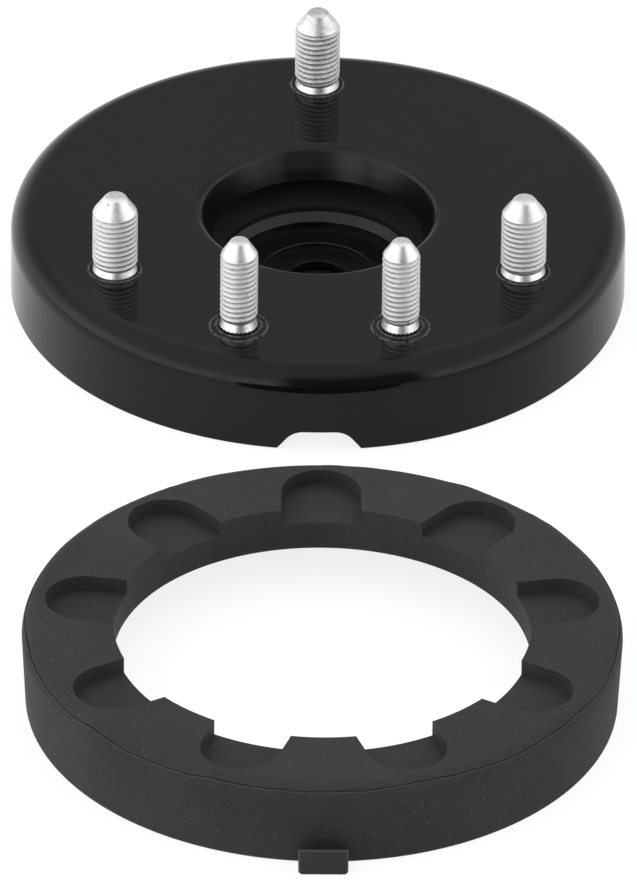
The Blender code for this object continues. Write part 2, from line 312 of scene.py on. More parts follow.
# %% Node group: specks and scratches
def speck_group():
    """Small round specks, and short scratches that lie in every direction."""
    inputs = {
        "Vector": "Vector", "Speck Scale": 900.0, "Speck Size": 0.22, "Speck Share": 0.2,
        "Scratch Scale": 160.0, "Scratch Share": 0.1,
    }
    outputs = {"Specks": "Float", "Scratches": "Float"}
    tree, value, result = new_tree("specks and scratches", "ShaderNodeTree", inputs, outputs)
    place, size = value["Vector"], value["Speck Size"]
    cells = {"Vector": place, "Scale": value["Speck Scale"]}
    cells = add(tree, "ShaderNodeTexVoronoi", cells).outputs
    near = remap(tree, cells["Distance"], times(tree, size, 0.45), size, 1.0, 0.0)
    channels = add(tree, "ShaderNodeSeparateColor", {"Color": cells["Color"]}).outputs
    chosen = calc(tree, "LESS_THAN", channels["Red"], value["Speck Share"])
    strength = remap(tree, channels["Green"], 0.0, 1.0, 0.35, 1.0)
    specks = times(tree, times(tree, near, chosen), strength)
    tree.links.new(specks, result["Specks"])

    bend = noise(tree, place, 35.0, 1.0)["Color"]
    moved = vector(tree, "ADD", place, vector(tree, "SCALE", bend, scale=0.03))
    limit = minus(tree, 0.82, value["Scratch Share"])
    masks = []
    for turn, stretch in ((0.5, (1.0, 14.0, 6.0)), (2.1, (14.0, 1.0, 6.0))):
        lie = {"Vector": moved, "Rotation": (0.2, 0.3, turn), "Scale": stretch}
        lie = first(tree, "ShaderNodeMapping", lie)
        lines = noise(tree, lie, value["Scratch Scale"])["Fac"]
        masks.append(remap(tree, lines, limit, plus(tree, limit, 0.08)))
    tree.links.new(calc(tree, "MAXIMUM", *masks), result["Scratches"])
    return tree


SPECKS = speck_group()
print("node group", SPECKS.name)


# %% Node group: worn edges and painted edge highlight
def edge_group():
    """Breaks up an edge mask with noise, so that wear and the painted edge highlight come in
    patches.
    """
    inputs = {"Vector": "Vector", "Edge": 0.0, "Patch Scale": 300.0, "Amount": 0.5}
    tree, value, result = new_tree("rubbed edges", "ShaderNodeTree", inputs, {"Mask": "Float"})
    patch = noise(tree, value["Vector"], value["Patch Scale"], 4.0)["Fac"]
    level = minus(tree, 1.0, value["Amount"])
    broken = times(tree, patch, value["Edge"])
    half = times(tree, level, 0.5)
    mask = remap(tree, broken, half, plus(tree, half, 0.2))
    tree.links.new(mask, result["Mask"])
    return tree


RUBBED_AND_LIT = edge_group()
print("node group", RUBBED_AND_LIT.name)


# %% Material helpers
def new_material(name):
    """A material with its tree, its Principled shader and the object's own coordinates."""
    material = bpy.data.materials.new(name)
    material.use_nodes = True
    tree = material.node_tree
    shader = tree.nodes["Principled BSDF"]
    place = tree.nodes.new("ShaderNodeTexCoord").outputs["Object"]
    return material, tree, shader, place


def use(tree, group, *values):
    """Puts a node group in a tree, with its inputs in order. The result is its outputs."""
    return add(tree, "ShaderNodeGroup", dict(enumerate(values)), node_tree=group).outputs


def cloudy(tree, place, coarse, fine, share, contrast):
    return use(tree, CLOUDS, place, coarse, fine, share, contrast)["Value"]


def marked(tree, place, scale, size, share, scratch_scale=160.0, scratch_share=0.1):
    """Masks of the specks and of the scratches."""
    made = use(tree, SPECKS, place, scale, size, share, scratch_scale, scratch_share)
    return made["Specks"], made["Scratches"]


def attribute(tree, name):
    return add(tree, "ShaderNodeAttribute", attribute_name=name).outputs["Fac"]


def rubbed(tree, place, patch, amount):
    return use(tree, RUBBED_AND_LIT, place, attribute(tree, "edge"), patch, amount)["Mask"]


def grey(value):
    return (value, value, value, 1.0)


def blend_colours(tree, factor, below, above):
    inputs = {0: factor, 6: below, 7: above}
    return add(tree, "ShaderNodeMix", inputs, data_type="RGBA").outputs[2]


def over(tree, tone, mask, share, value):
    """Lays a share of a grey over a tone, where a mask says so."""
    return blend_colours(tree, times(tree, mask, share), tone, grey(value))


def dress(tree, shader, tone, rough, height, strength, distance):
    """Gives the shader its colour, its roughness and its relief."""
    inputs = {"Height": height, "Strength": strength, "Distance": distance}
    relief = first(tree, "ShaderNodeBump", inputs)
    for socket, made in (("Base Color", tone), ("Roughness", rough), ("Normal", relief)):
        tree.links.new(made, shader.inputs[socket])


print("material helpers ready")

# %% [markdown]
# ## Gloss black paint
# The pan is dipped or sprayed, so the paint is thin, even and very dark. Nearly all of its
# brightness is reflection. Its colour changes only a little from place to place, and what
# makes it look real is a slight orange-peel waviness, a little dust and uneven gloss. The wall
# of the recess was drawn by the press and is duller than the flat plate. Its colour there is a
# lighter black with painted shade: it turns near black low down and at the two sides.


# %% Black paint
def from_axis(tree, place):
    """How far a point lies from the pan's upright axis."""
    away = vector(tree, "SUBTRACT", place, (0.0, MOUNT_Y, 0.0))
    return vector(tree, "LENGTH", vector(tree, "MULTIPLY", away, (1.0, 1.0, 0.0)))


def paint_material(name, base, gloss, level, dulled=0.0):
    material, tree, shader, place = new_material(name)
    clouds = cloudy(tree, place, 22.0, 160.0, 0.4, 1.6)
    specks, _ = marked(tree, place, 520.0, 0.15, 0.035)
    # Lighter edges: partly worn paint, partly a painted highlight.
    rub_and_sheen = rubbed(tree, place, 900.0, 0.25)
    radius = from_axis(tree, place)
    drawn = remap(tree, radius, RIM_RADIUS + 0.0018, RIM_RADIUS - 0.001, 0.0, dulled, soft=True)
    at = parts(tree, place)
    # Painted shade on the recess wall: darker low down and at the two sides.
    side_shade = calc(tree, "DIVIDE", calc(tree, "ABSOLUTE", at["X"]), radius)
    side_shade = remap(tree, side_shade, 0.5, 0.85, soft=True)
    low = remap(tree, at["Z"], PLATE_TOP - 0.0048, PLATE_TOP - 0.0068, soft=True)
    wall = blend_colours(tree, calc(tree, "MAXIMUM", side_shade, low), grey(0.016), grey(0.005))
    tone = blend_colours(tree, clouds, grey(base * 0.85), grey(base * 1.2))
    tone = blend_colours(tree, drawn, tone, wall)
    tone = over(tree, tone, specks, 0.3, 0.06)
    tone = over(tree, tone, rub_and_sheen, 0.7, 0.16)
    rough = remap(tree, clouds, 0.0, 1.0, gloss * 0.85, gloss * 1.2)
    rough = times_plus(tree, rub_and_sheen, 0.3, rough)
    rough = times_plus(tree, drawn, 0.17, rough)
    shader.inputs["Specular IOR Level"].default_value = level
    dress(tree, shader, tone, rough, noise(tree, place, 140.0, 1.0)["Fac"], 0.05, 0.0004)
    return material


PAINT = paint_material("gloss_black_paint", 0.0052, 0.075, 0.22, dulled=1.0)
print("paint ready")

# %% [markdown]
# ## Bright plated steel
# The studs are rolled steel with bright zinc on it. The stud's tree, further down, stores how
# deep each point lies in its groove. The finish reads that: the thread is duller than the nose,
# and its colour is painted darker towards the roots, as painted shade in the grooves.


# %% Plated steel
def steel_material():
    material, tree, shader, place = new_material("bright_zinc")
    clouds = cloudy(tree, place, 260.0, 1500.0, 0.5, 1.8)
    specks, scratches = marked(tree, place, 520.0, 0.3, 0.05, 420.0, 0.16)
    groove, dull = attribute(tree, "groove"), attribute(tree, "dull")
    smudge = times(tree, dull, remap(tree, clouds, 0.7, 0.2))
    tone = blend_colours(tree, clouds, grey(0.74), grey(0.9))
    # Painted shade: the thread is darker than the nose, most at the roots.
    tone = over(tree, tone, groove, 0.3, 0.42)
    tone = blend_colours(tree, smudge, tone, grey(0.28))
    tone = over(tree, tone, specks, 0.8, 0.12)
    rough = remap(tree, clouds, 0.0, 1.0, 0.3, 0.42)
    rough = times_plus(tree, groove, 0.4, rough)
    rough = times_plus(tree, scratches, 0.12, rough)
    shader.inputs["Metallic"].default_value = 1.0
    height = times_plus(tree, scratches, -0.5, clouds)
    dress(tree, shader, tone, rough, height, 0.3, 0.0001)
    return material


STEEL = steel_material()
print("steel ready")

# %% [markdown]
# ## Moulded rubber
# The isolator is matt, hard rubber straight from its mould. Talc and handling leave it cloudy,
# with pale specks and short scuffs. Its edges are a little lighter than its faces, partly from
# handling and partly as a painted highlight. The bush is darker and cleaner.


# %% Rubber
def rubber_material(name, base, level, talc):
    material, tree, shader, place = new_material(name)
    clouds = cloudy(tree, place, 30.0, 1100.0, 0.5, 3.0)
    specks, scratches = marked(tree, place, 560.0, 0.24, 0.16, 90.0, 0.11)
    tone = blend_colours(tree, clouds, grey(base * 0.78), grey(base * 1.22))
    tone = over(tree, tone, scratches, 0.2, base * 2.2)
    tone = over(tree, tone, specks, talc, base * 4)
    # Lighter edges: partly rubbed rubber, partly a painted highlight.
    tone = over(tree, tone, rubbed(tree, place, 1300.0, 0.78), 0.75, base * 3.6)
    rough = remap(tree, clouds, 0.0, 1.0, 0.82, 0.64)
    shader.inputs["Specular IOR Level"].default_value = level
    height = times_plus(tree, clouds, 0.6, noise(tree, place, 2200.0, 3.0)["Fac"])
    dress(tree, shader, tone, rough, height, 0.3, 0.00015)
    return material


RUBBER = rubber_material("moulded_rubber", 0.0255, 0.42, 0.6)
BUSH_RUBBER = rubber_material("bonded_rubber", 0.019, 0.1, 0.1)
print("rubbers ready")


# %% [markdown]
# ## Marking the edges
# Outer edges take wear, and they catch the light. Cycles can find edges while it renders, but
# that is lost once the mesh leaves Blender, so the script marks them once. The narrow faces
# that round an outward edge get 1 on their corners and all others 0, so nothing spreads over
# the wide faces beside them. The finishes read it as the attribute "edge" and make those edges
# lighter, partly as wear and partly as a painted highlight.


# %% Edge attribute
NARROW = 0.0004


def mark_edges(mesh, above=-1.0):
    """Marks narrow faces that bend outwards, if they lie higher than a given height."""
    bm = bmesh.new()
    bm.from_mesh(mesh)
    values = []
    for face in bm.faces:
        longest = max(edge.calc_length() for edge in face.edges)
        narrow = face.calc_area() < NARROW * longest
        bend = sum(edge.calc_face_angle_signed(0.0) * edge.calc_length() for edge in face.edges)
        marked_face = narrow and bend > 0 and face.calc_center_median().z > above
        values += [1.0 if marked_face else 0.0] * len(face.loops)
    bm.free()
    edge_mask = mesh.attributes.new("edge", "FLOAT", "CORNER")
    edge_mask.data.foreach_set("value", values)
    return mesh


print("edge marking ready")

# %% [markdown]
# ## The pressed pan
# The real pan starts as a flat disc. The press folds its rim down into a skirt and draws the
# middle down into a tapered collar. A spun section gives exactly that: one sheet thickness all
# the way round. The skirt's notch, the stud holes and the small lips that the studs push up
# are then cut or added with booleans, as the press does after drawing.


# %% Section of the pan
def pan_section():
    inner_fold = FOLD_RADIUS - SHEET
    inside = MOUNT_RADIUS - SHEET
    edge = 0.0006
    lean = atan2(COLLAR_TAPER, COLLAR_DEPTH)
    slope = COLLAR_TAPER / COLLAR_DEPTH
    wall = SHEET * hypot(1, slope)
    rim_centre = RIM_RADIUS + RIM_ROUND * tan((pi / 2 - lean) / 2)
    collar_end = PLATE_TOP - COLLAR_DEPTH
    section = arc(inside + edge, edge, edge, 180, 270, 3)
    section += arc(MOUNT_RADIUS - edge, edge, edge, 270, 360, 3)
    section += arc(MOUNT_RADIUS - FOLD_RADIUS, PLATE_TOP - FOLD_RADIUS, FOLD_RADIUS, 0, 90, 18)
    section += arc(rim_centre, PLATE_TOP - RIM_ROUND, RIM_ROUND, 90, 180 - lean * 180 / pi, 8)
    section.append((RIM_RADIUS - COLLAR_TAPER, collar_end))
    section.append((RIM_RADIUS - COLLAR_TAPER + wall, collar_end))
    section.append((RIM_RADIUS + wall - slope * SHEET, PLATE_UNDERSIDE))
    section += arc(inside - inner_fold, PLATE_UNDERSIDE - inner_fold, inner_fold, 90, 0, 8)
    return section


print("pan section has", len(pan_section()), "points")

# %% [markdown]
# ### Lips, holes and the notch
# Where a stud is pressed through, the sheet swells up into a low round lip. The slimmer studs
# show a second, fainter ring outside it, left by the tool that held the sheet down. Both are
# low discs joined to the plate before the hole is cut through them.


# %% Cutters for the pan
STUDS = [
    ("large_stud_rear", 90, 0.006),
    ("large_stud_left", 210, 0.006),
    ("large_stud_right", 330, 0.006),
    ("small_stud_left", 250, 0.005),
    ("small_stud_right", 290, 0.005),
]
SLIM_BELOW = 0.0055


def stud_place(angle, z=0.0):
    turn = radians(angle)
    return STUD_CIRCLE * cos(turn), MOUNT_Y + STUD_CIRCLE * sin(turn), z


def cutter(name, bm):
    obj = link(name, mesh_of(name, bm))
    obj.hide_render = True
    return obj


def rings(name, profile):
    """One turned solid for each stud, from a function that gives its section."""
    bm = bmesh.new()
    for _, angle, radius in STUDS:
        spin(bm, profile(radius), 56, closed=False)
        made = [v for v in bm.verts if not v.tag]
        bmesh.ops.translate(bm, vec=stud_place(angle), verts=made)
        for vert in made:
            vert.tag = True
    close_up(bm)
    return cutter(name, bm)


def lip_profile(radius):
    """A low lip with a round top, and a fainter ring outside it on the slim studs."""
    low, side = PLATE_TOP - SHEET / 2, 0.0003
    lip = radius + 0.0011
    slim = radius < SLIM_BELOW
    foot = radius + 0.00265 if slim else lip
    points = [(0, low), (foot + side, low), (foot + side, PLATE_TOP - 0.0001)]
    if slim:
        points += [(foot, PLATE_TOP + 0.0002), (foot - side, PLATE_TOP + 0.00006)]
        points += [(lip + 0.0004, PLATE_TOP + 0.00004)]
    points += [(lip, PLATE_TOP + 0.0003), (lip - side, PLATE_TOP + 0.0005)]
    points += [(radius, PLATE_TOP + 0.00045), (0, PLATE_TOP + 0.00045)]
    return points


def hole_profile(radius):
    hole = radius + FIT_GAP
    low, high = PLATE_UNDERSIDE - SHEET, PLATE_TOP + SHEET
    return [(0, low), (hole, low), (hole, high), (0, high)]


lips = rings("lip_discs", lip_profile)
holes = rings("stud_holes", hole_profile)
print("lips and holes for", len(STUDS), "studs")


# %% Notch cutter
def rounded_corner(corner, before, after, radius, steps):
    """Points that round one corner of a flat outline."""
    a = (Vector(before) - Vector(corner)).normalized()
    b = (Vector(after) - Vector(corner)).normalized()
    half = a.angle(b) / 2
    reach = radius / tan(half)
    middle = Vector(corner) + (a + b).normalized() * (radius / sin(half))
    start = Vector(corner) + a * reach - middle
    end = Vector(corner) + b * reach - middle
    turn = start.angle(end)
    points = []
    for i in range(steps + 1):
        t = i / steps
        from_start, from_end = sin((1 - t) * turn) / sin(turn), sin(t * turn) / sin(turn)
        points.append(tuple(middle + start * from_start + end * from_end))
    return points


def notch_cutter():
    """A flared outline with its upper corners rounded in and its foot rounded out."""
    top, foot, depth, just_below = 0.0069, 0.0113, 0.0056, -1e-5
    upper = rounded_corner((top, depth), (foot, 0), (-top, depth), 0.006, 10)
    lower = rounded_corner((foot, 0), (foot + 0.01, 0), (top, depth), 0.0012, 6)
    right = [(x, z if z > 1e-6 else just_below) for x, z in lower + upper]
    shoulder = right[0][0] + 0.003
    outline = [(shoulder, -0.003), (shoulder, just_below)] + right
    outline += [(-x, z) for x, z in reversed(outline)]
    start = MOUNT_Y - MOUNT_RADIUS - 0.002
    return cutter("notch", stretched([(x, start, z) for x, z in outline], (0, 0.009, 0)))


notch = notch_cutter()
print("notch cutter has", len(notch.data.vertices), "points")


# %% Make the pan
def smooth(mesh, angle):
    mesh.shade_smooth()
    mesh.set_sharp_from_angle(angle=radians(angle))


def flat_led(mesh, angle):
    """Smooth shading in which wide flat faces keep their own direction."""
    smooth(mesh, angle)
    shaded = link("shaded", mesh)
    weighted = shaded.modifiers.new("Flat faces lead", "WEIGHTED_NORMAL")
    weighted.keep_sharp = True
    weighted.weight = 100
    return baked(shaded)


body = turned("pan_body", pan_section(), 240, MOUNT_Y)
boolean(body, "UNION", lips)
boolean(body, "DIFFERENCE", holes)
boolean(body, "DIFFERENCE", notch)
pan = flat_led(mark_edges(baked(body), PLATE_TOP + 0.00005), 28)
make_piece("pressed_pan", pan, PAINT, "black_paint", "mount_plate")
for used in (lips, holes, notch):
    bpy.data.objects.remove(used, do_unlink=True)

# %% [markdown]
# ## The studs
# All five studs follow one rule: a helical groove runs round a rod between a plain shank and a
# coned nose. One Geometry Nodes tree makes that rule. It bends a flat grid into a tube, whose
# radius depends on height and turn, and adds the flat head below the sheet. Thread, nose and
# shank are named inputs, so the stout and the slim studs are the same tree with other values.
# The steps that the later trees need as well come first.


# %% Steps that more than one shape tree uses
GEOMETRY = {"Geometry": "Geometry"}


def join(tree, *geometries):
    joined = add(tree, "GeometryNodeJoinGeometry")
    for geometry in geometries:
        tree.links.new(geometry, joined.inputs[0])
    return joined.outputs[0]


def merged(tree, geometry):
    return first(tree, "GeometryNodeMergeByDistance", {"Geometry": geometry, "Distance": 1e-6})


def moved_by(tree, geometry, **values):
    inputs = {"Geometry": geometry, "Translation": combine(tree, **values)}
    return first(tree, "GeometryNodeTransform", inputs)


def keep(tree, geometry, name, value):
    """Stores a number at each point, for the finishes to read."""
    inputs = {"Geometry": geometry, "Name": name, "Value": value}
    store = "GeometryNodeStoreNamedAttribute"
    return first(tree, store, inputs, data_type="FLOAT", domain="POINT")


def finish_tree(tree, geometry, material, result):
    real = first(tree, "GeometryNodeRealizeInstances", {0: geometry})
    coat = {"Geometry": real, "Material": material}
    tree.links.new(first(tree, "GeometryNodeSetMaterial", coat), result["Geometry"])
    return tree


print("steps for shape trees ready")


# %% Tree: threaded stud
def stud_tree():
    inputs = {
        "Radius": 0.006, "Reach": 0.023, "Nose": 0.005, "Tip Radius": 0.0022,
        "Shank": 0.002, "Neck": 0.0007, "Pitch": 0.0015, "Thread Depth": 0.00042,
        "Knurl": 0.0, "Dullness": 0.0, "Turn": 0.0, "Sheet": SHEET,
        "Head Radius": 0.009, "Head Thickness": 0.003, "Material": "Material",
    }
    tree, value, result = new_tree("threaded stud", "GeometryNodeTree", inputs, GEOMETRY)
    full, reach, shank = value["Radius"], value["Reach"], value["Shank"]
    columns, rows = 140, 236
    grid = {"Size X": 1.0, "Size Y": 1.0, "Vertices X": columns + 1, "Vertices Y": rows + 1}
    grid = first(tree, "GeometryNodeMeshGrid", grid)
    at = parts(tree, first(tree, "GeometryNodeInputPosition"))
    around = plus(tree, at["X"], 0.5)
    up = times(tree, plus(tree, at["Y"], 0.5), rows)
    bottom = times(tree, value["Sheet"], -1.1)
    share = remap(tree, up, 1.0, rows - 2.0)
    height = times_plus(tree, share, minus(tree, reach, bottom), bottom)

    thread_end = minus(tree, reach, value["Nose"])
    run_out = plus(tree, thread_end, times(tree, value["Nose"], 0.16))
    begun = times_plus(tree, value["Pitch"], 0.7, shank)
    begins = remap(tree, height, shank, begun)
    fade = times_plus(tree, value["Pitch"], -0.4, run_out)
    window = times(tree, begins, remap(tree, height, fade, run_out, 1.0, 0.0))
    lead = plus(tree, around, value["Turn"])
    phase = minus(tree, calc(tree, "DIVIDE", height, value["Pitch"]), lead)
    flank = remap(tree, calc(tree, "PINGPONG", phase, 0.5), 0.04, 0.44)
    shade = times(tree, times_plus(tree, flank, 0.6, 0.4), window)
    cut = times(tree, times(tree, flank, window), value["Thread Depth"])
    waist = remap(tree, height, 0.0006, shank, 0.0, value["Neck"])
    neck = times(tree, waist, minus(tree, 1.0, begins))
    teeth = calc(tree, "PINGPONG", times(tree, around, 28.0), 0.5)
    jagged = times_plus(tree, teeth, 0.0006, 0.0003)
    under = remap(tree, height, jagged, plus(tree, jagged, 0.0004), 1.0, 0.0)
    foot = times(tree, under, value["Knurl"])
    flare = times(tree, remap(tree, height, 0.0, shank, 0.4, 0.0), value["Knurl"])
    rod = minus(tree, full, plus(tree, cut, neck))
    rod = plus(tree, rod, minus(tree, flare, foot))

    along = calc(tree, "DIVIDE", minus(tree, height, thread_end), value["Nose"])
    along = calc(tree, "MAXIMUM", along, -0.3)
    narrowing = minus(tree, full, value["Tip Radius"])
    cone = plus(tree, full, 0.0002)
    cone = minus(tree, cone, times(tree, narrowing, along))
    tip = remap(tree, height, minus(tree, reach, 0.0007), reach)
    tip_round = times(tree, calc(tree, "POWER", tip, 3.0), 0.0005)
    body = calc(tree, "SMOOTH_MIN", rod, cone, 0.0006)
    body = minus(tree, body, tip_round)
    above_first = calc(tree, "GREATER_THAN", up, 0.5)
    below_last = calc(tree, "LESS_THAN", up, rows - 0.5)
    radius = times(tree, body, times(tree, above_first, below_last))
    radius = times(tree, radius, remap(tree, up, rows - 1.6, rows - 0.6, 1.0, 0.6))
    angle = times(tree, around, 2 * pi)
    x = times(tree, radius, calc(tree, "COSINE", angle))
    y = times(tree, radius, calc(tree, "SINE", angle))

    stored = keep(tree, keep(tree, grid, "groove", shade), "dull", value["Dullness"])
    tube = {"Geometry": stored, "Position": combine(tree, X=x, Y=y, Z=height)}
    tube = merged(tree, first(tree, "GeometryNodeSetPosition", tube))
    head = {"Vertices": 64, "Side Segments": 1, "Radius": value["Head Radius"]}
    head["Depth"] = value["Head Thickness"]
    head = first(tree, "GeometryNodeMeshCylinder", head)
    drop = times_plus(tree, value["Head Thickness"], -0.5, -FIT_GAP)
    drop = minus(tree, drop, value["Sheet"])
    whole = join(tree, tube, moved_by(tree, head, Z=drop))
    return finish_tree(tree, whole, value["Material"], result)


STUD_TREE = stud_tree()
print("tree", STUD_TREE.name, "has", len(STUD_TREE.nodes), "nodes")


# %% [markdown]
# ### Running a tree
# A modifier's inputs are set by each socket's identifier, before the object is first
# evaluated. The result is copied to a plain mesh, closed at its seam, and its faces turned
# outwards, because bending a grid can leave them inside out.


# %% Run the stud tree five times
def run_tree(obj, tree, values):
    """Adds a Geometry Nodes modifier and sets its inputs by the names of their sockets."""
    modifier = obj.modifiers.new("Grow", "NODES")
    modifier.node_group = tree
    for item in tree.interface.items_tree:
        if item.item_type == "SOCKET" and item.in_out == "INPUT" and item.name in values:
            modifier[item.identifier] = values[item.name]


def grown(name, tree, values):
    """Runs a tree on an empty mesh and returns the plain mesh that it makes."""
    base = link(name, bpy.data.meshes.new(name))
    run_tree(base, tree, values)
    mesh = baked(base)
    bm = bmesh.new()
    bm.from_mesh(mesh)
    close_up(bm)
    bm.to_mesh(mesh)
    bm.free()
    return mesh


NAMES = ("Radius", "Reach", "Nose", "Tip Radius", "Shank", "Neck", "Knurl", "Head Radius")
STOUT = (0.006, 0.0231, 0.0052, 0.0023, 0.0022, 0.0007, 0.0, 0.009)
SLIM = (0.005, 0.0268, 0.0047, 0.0019, 0.003, 0.0006, 0.0008, 0.0082)
for number, (name, angle, radius) in enumerate(STUDS):
    sizes = dict(zip(NAMES, SLIM if radius < SLIM_BELOW else STOUT))
    sizes.update({"Turn": number * 0.37, "Material": STEEL})
    sizes["Dullness"] = 0.6 if angle == 90 else 0.12
    mesh = grown(name, STUD_TREE, sizes)
    mesh.transform(Matrix.Translation(stud_place(angle, PLATE_TOP)))
    smooth(mesh, 50)
    make_piece(f"{name}_threaded", mesh, STEEL, "plated_steel", name)

# %% [markdown]
# ## The bush in the recess
# Little of it shows: the steel rod seat's rim and the edge of its nut recess, which catch the
# light as two arcs, and the dark hollow of rubber round them. The seat and the rubber are turned
# like the real ones. The cup below them is hidden from above, so the imported solid stays for it.


# %% Make the bush's pieces
seat_low, seat_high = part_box("rod_seat")
bush_low, bush_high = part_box("rubber_bush")
SEAT_RADIUS = (seat_high.x - seat_low.x) / 2
BUSH_RADIUS = (bush_high.x - bush_low.x) / 2


def rod_seat_section():
    floor, base, rim = 0.004, seat_low.z, seat_high.z
    bore, recess, wall = 0.00725, 0.0146, SEAT_RADIUS - 0.0027
    section = arc(bore + 0.0003, base + 0.0003, 0.0003, 180, 270, 2)
    section += arc(SEAT_RADIUS - 0.0005, base + 0.0005, 0.0005, 270, 360, 4)
    section += arc(SEAT_RADIUS - 0.0002, rim - 0.0002, 0.0002, 0, 90, 3)
    section += [(SEAT_RADIUS - 0.0004, rim - 0.0001), (SEAT_RADIUS - 0.0025, rim - 0.0016)]
    section += [(wall, rim - 0.002), (wall, floor)]
    section += arc(recess + 0.0003, floor - 0.0003, 0.0003, 90, 180, 4)
    section += [(recess, floor - 0.001)]
    section += arc(bore + 0.0001, floor - 0.0011, 0.0001, 90, 180, 1)
    return section


def bush_section():
    """A ring with a step low down outside, and a top that sinks inwards in a quarter round."""
    inside, lip, step, steps = SEAT_RADIUS + FIT_GAP, BUSH_RADIUS - 0.0045, 0.0029, 15
    low, high = seat_high.z + 0.0013, bush_high.z
    section = [(inside, bush_low.z), (lip, bush_low.z), (lip, step), (BUSH_RADIUS, step)]
    section.append((BUSH_RADIUS, high))
    for i in range(1, steps):
        turn = pi / 2 * i / steps
        radius = BUSH_RADIUS + (inside - BUSH_RADIUS) * (1 - cos(turn))
        section.append((radius, high + (low - high) * sin(turn)))
    section.append((inside, low))
    return section


SEAT_PAINT = paint_material("seat_paint", 0.008, 0.12, 0.32)
for name, section, material, slot, node in (
    ("rod_seat_turned", rod_seat_section(), SEAT_PAINT, "black_paint", "rod_seat"),
    ("bush_rubber_ring", bush_section(), BUSH_RUBBER, "bush_rubber", "rubber_bush"),
):
    mesh = mark_edges(baked(turned(name, section, 144, MOUNT_Y)), 0.0095)
    make_piece(name, flat_led(mesh, 40), material, slot, node)

for material_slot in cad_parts["bush_shell"].material_slots:
    material_slot.material = PAINT
print("bush shell keeps its packed solid with", PAINT.name)

# %% [markdown]
# ## The spring isolator
# The ring itself is a spun section: a thick flange with an outer skirt, which together seat the
# spring's top coil. Its nine pockets repeat every 40 degrees, so a Geometry Nodes tree makes
# one round-ended pocket from a filleted outline, turns copies of it round the ring and cuts
# them all out in one boolean.


# %% Section of the ring
def ring_section():
    flange, skirt, chamfer, coil_round = 0.0125, 0.0078, 0.0018, 0.003
    seat, inside = ISOLATOR_TOP - flange, ISOLATOR_RADIUS - skirt
    section = [(inside, chamfer), (inside + chamfer, 0.0)]
    section += arc(FOOT_RADIUS - 0.0006, 0.0006, 0.0006, 270, 360, 4)
    section += arc(ISOLATOR_RADIUS - SHOULDER, ISOLATOR_TOP - SHOULDER, SHOULDER, 0, 90, 12)
    section += [(BORE_RADIUS, ISOLATOR_TOP), (BORE_RADIUS, seat + 0.0005)]
    section += [(BORE_RADIUS + 0.0005, seat)]
    section += arc(inside - coil_round, seat - coil_round, coil_round, 90, 0, 6)
    return section


print("ring section has", len(ring_section()), "points")


# %% Tree: pockets round a ring
def pocket_tree():
    inputs = {
        "Geometry": "Geometry", "Count": 9, "First Angle": pi / 2, "Circle": 0.0622,
        "Pocket Radius": 0.0104, "Inner End": 0.036, "Floor Height": 0.0192,
        "Cut Height": 0.008, "Centre Y": 0.0, "Material": "Material",
    }
    name = "pockets round a ring"
    tree, value, result = new_tree(name, "GeometryNodeTree", inputs, GEOMETRY)
    radius, inner = value["Pocket Radius"], value["Inner End"]
    outer = plus(tree, value["Circle"], radius)
    plan = {"Width": minus(tree, outer, inner)}
    plan["Height"] = times(tree, radius, 2.0)
    plan = first(tree, "GeometryNodeCurvePrimitiveQuadrilateral", plan)
    soft = {"Curve": plan, "Count": 14, "Radius": times(tree, radius, 0.9999)}
    soft = first(tree, "GeometryNodeFilletCurve", soft, mode="POLY")
    face = first(tree, "GeometryNodeFillCurve", {"Curve": soft}, mode="NGONS")
    block = {"Mesh": face, "Offset": (0.0, 0.0, 1.0), "Offset Scale": value["Cut Height"]}
    block["Individual"] = False
    block = first(tree, "GeometryNodeExtrudeMesh", block, mode="FACES")
    under = first(tree, "GeometryNodeFlipFaces", {"Mesh": face})
    middle = calc(tree, "DIVIDE", plus(tree, outer, inner), 2.0)
    pocket = merged(tree, join(tree, block, under))
    pocket = moved_by(tree, pocket, X=middle, Z=value["Floor Height"])
    points = {"Count": value["Count"], "Offset": (0.0, 0.0, 0.0)}
    points = first(tree, "GeometryNodeMeshLine", points)
    step = calc(tree, "DIVIDE", 2 * pi, value["Count"])
    index = first(tree, "GeometryNodeInputIndex")
    turn = times_plus(tree, index, step, value["First Angle"])
    spread = {"Points": points, "Instance": pocket, "Rotation": combine(tree, Z=turn)}
    spread = first(tree, "GeometryNodeInstanceOnPoints", spread)
    spread = first(tree, "GeometryNodeRealizeInstances", {0: spread})
    meshes = {"Mesh 1": value["Geometry"], "Mesh 2": moved_by(tree, spread, Y=value["Centre Y"])}
    settings = {"operation": "DIFFERENCE", "solver": "EXACT"}
    cut = first(tree, "GeometryNodeMeshBoolean", meshes, **settings)
    return finish_tree(tree, cut, value["Material"], result)


POCKETS = pocket_tree()
print("tree", POCKETS.name, "has", len(POCKETS.nodes), "nodes")


# %% Cut the pockets and soften the edges
def softened(mesh, width, angle):
    """Joins flat faces that lie level, so that the bevel meets clean edges, then bevels."""
    bm = bmesh.new()
    bm.from_mesh(mesh)
    bmesh.ops.remove_doubles(bm, verts=bm.verts, dist=1e-6)
    bmesh.ops.dissolve_limit(bm, angle_limit=radians(0.3), verts=bm.verts[:], edges=bm.edges[:])
    bm.to_mesh(mesh)
    bm.free()
    obj = link("softened", mesh)
    bevel = obj.modifiers.new("Soft edges", "BEVEL")
    bevel.width = width
    bevel.segments = 2
    bevel.limit_method = "ANGLE"
    bevel.angle_limit = radians(angle)
    bevel.miter_outer = "MITER_ARC"
    return baked(obj)


